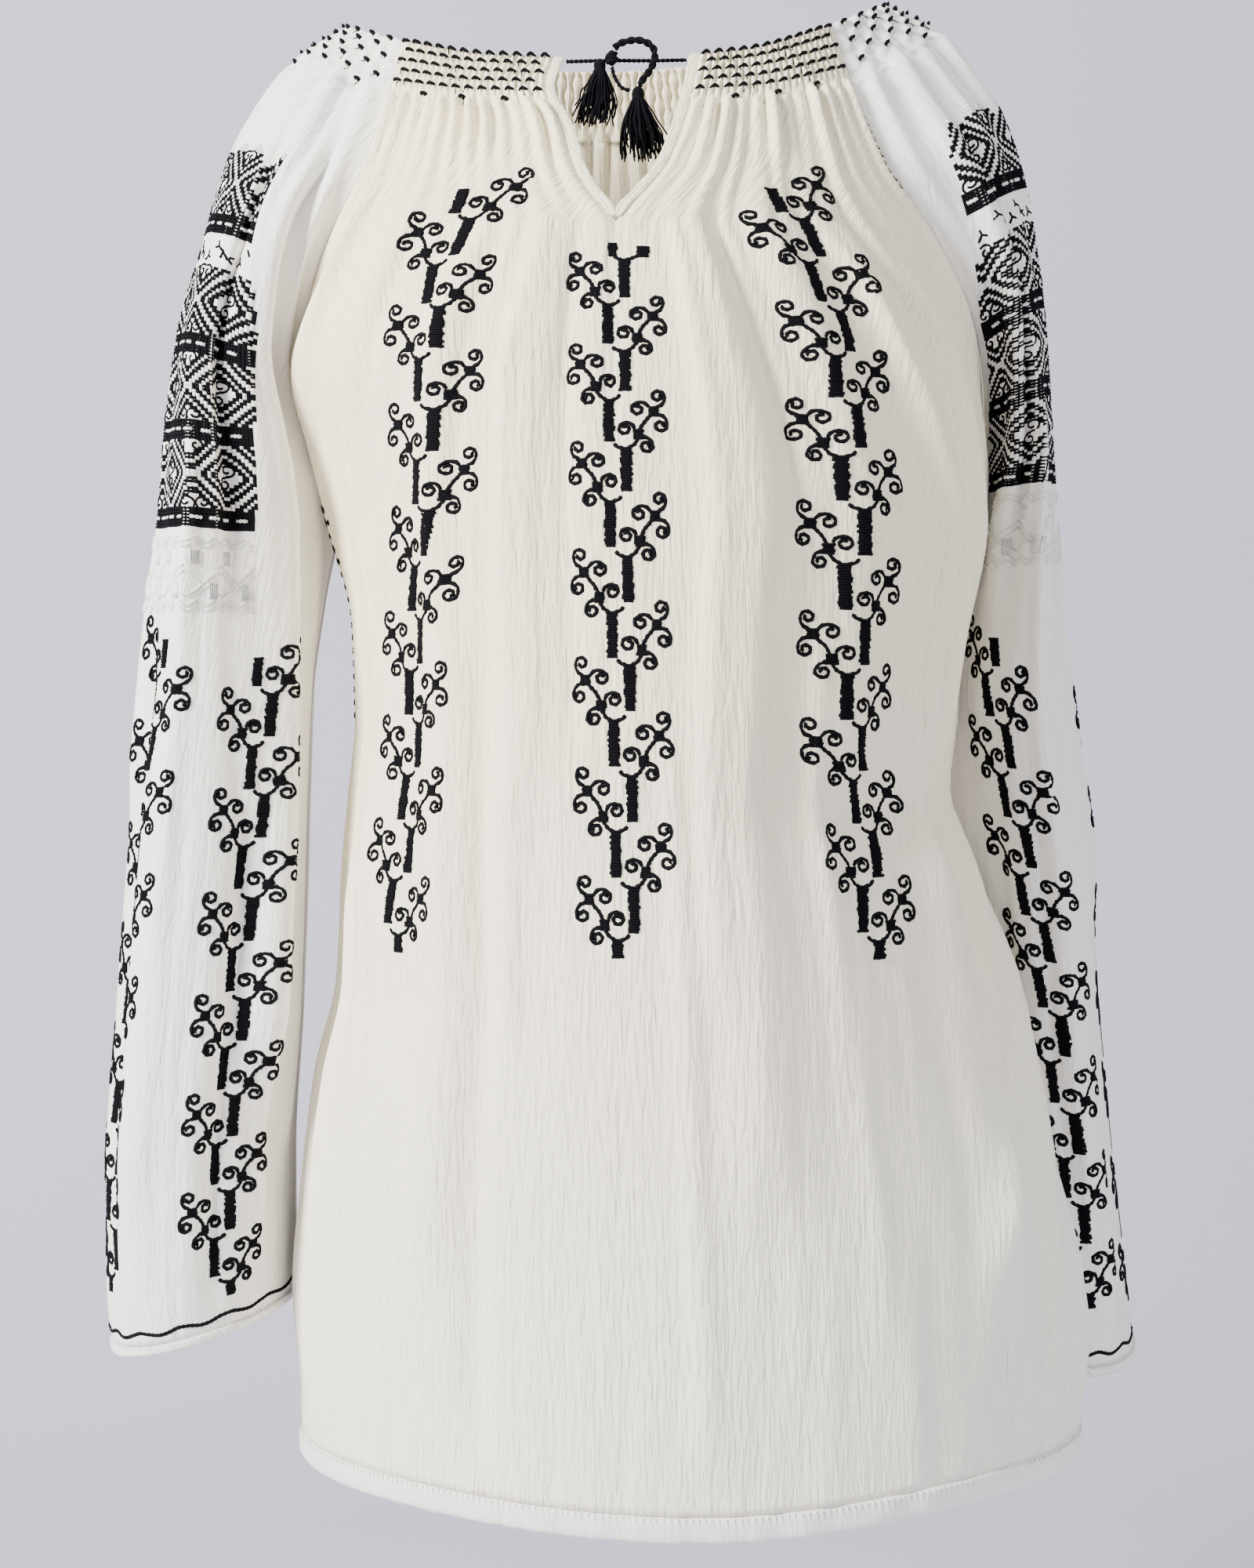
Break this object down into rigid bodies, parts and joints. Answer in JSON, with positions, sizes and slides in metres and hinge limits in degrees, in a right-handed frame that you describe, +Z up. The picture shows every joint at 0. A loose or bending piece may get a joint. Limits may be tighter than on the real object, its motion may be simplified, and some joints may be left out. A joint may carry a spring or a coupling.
{
  "type": "romanian ie blouse",
  "caption": "Worn, hollow folk blouse with raglan sleeves gathered into a smocked neck, a tied V slit with tassels, wide open cuffs and a rolled hem.",
  "frame": {"origin": "middle of the neck opening at the height of the left shoulder, where the wearer's shoulders carry the blouse", "axes": "+Z up towards the wearer's head, -Y out of the front with the V slit, +X to the right of someone who looks at the front"},
  "size_m": [0.5376, 0.3161, 0.7327],
  "materials": {
    "body_cloth": "cream cotton crepe",
    "sleeve_cloth": "white cotton crepe",
    "hem_cloth": "white cotton, rolled and whipped",
    "black_thread": "black cotton thread and cord"
  },
  "bodies": {
    "root": {"front_panel": "body_cloth", "back_panel": "body_cloth", "sleeve_left": "sleeve_cloth", "sleeve_right": "sleeve_cloth", "slit_hem_left": "body_cloth", "slit_hem_right": "body_cloth", "hem_front": "hem_cloth", "hem_back": "hem_cloth", "cuff_edge_left": "hem_cloth", "cuff_edge_right": "hem_cloth", "drawstring": "black_thread", "bow_knot": "black_thread", "bow_loop": "black_thread", "tie_strand": "black_thread", "tassel_left": "black_thread", "tassel_right": "black_thread"}
  },
  "joints": []
}
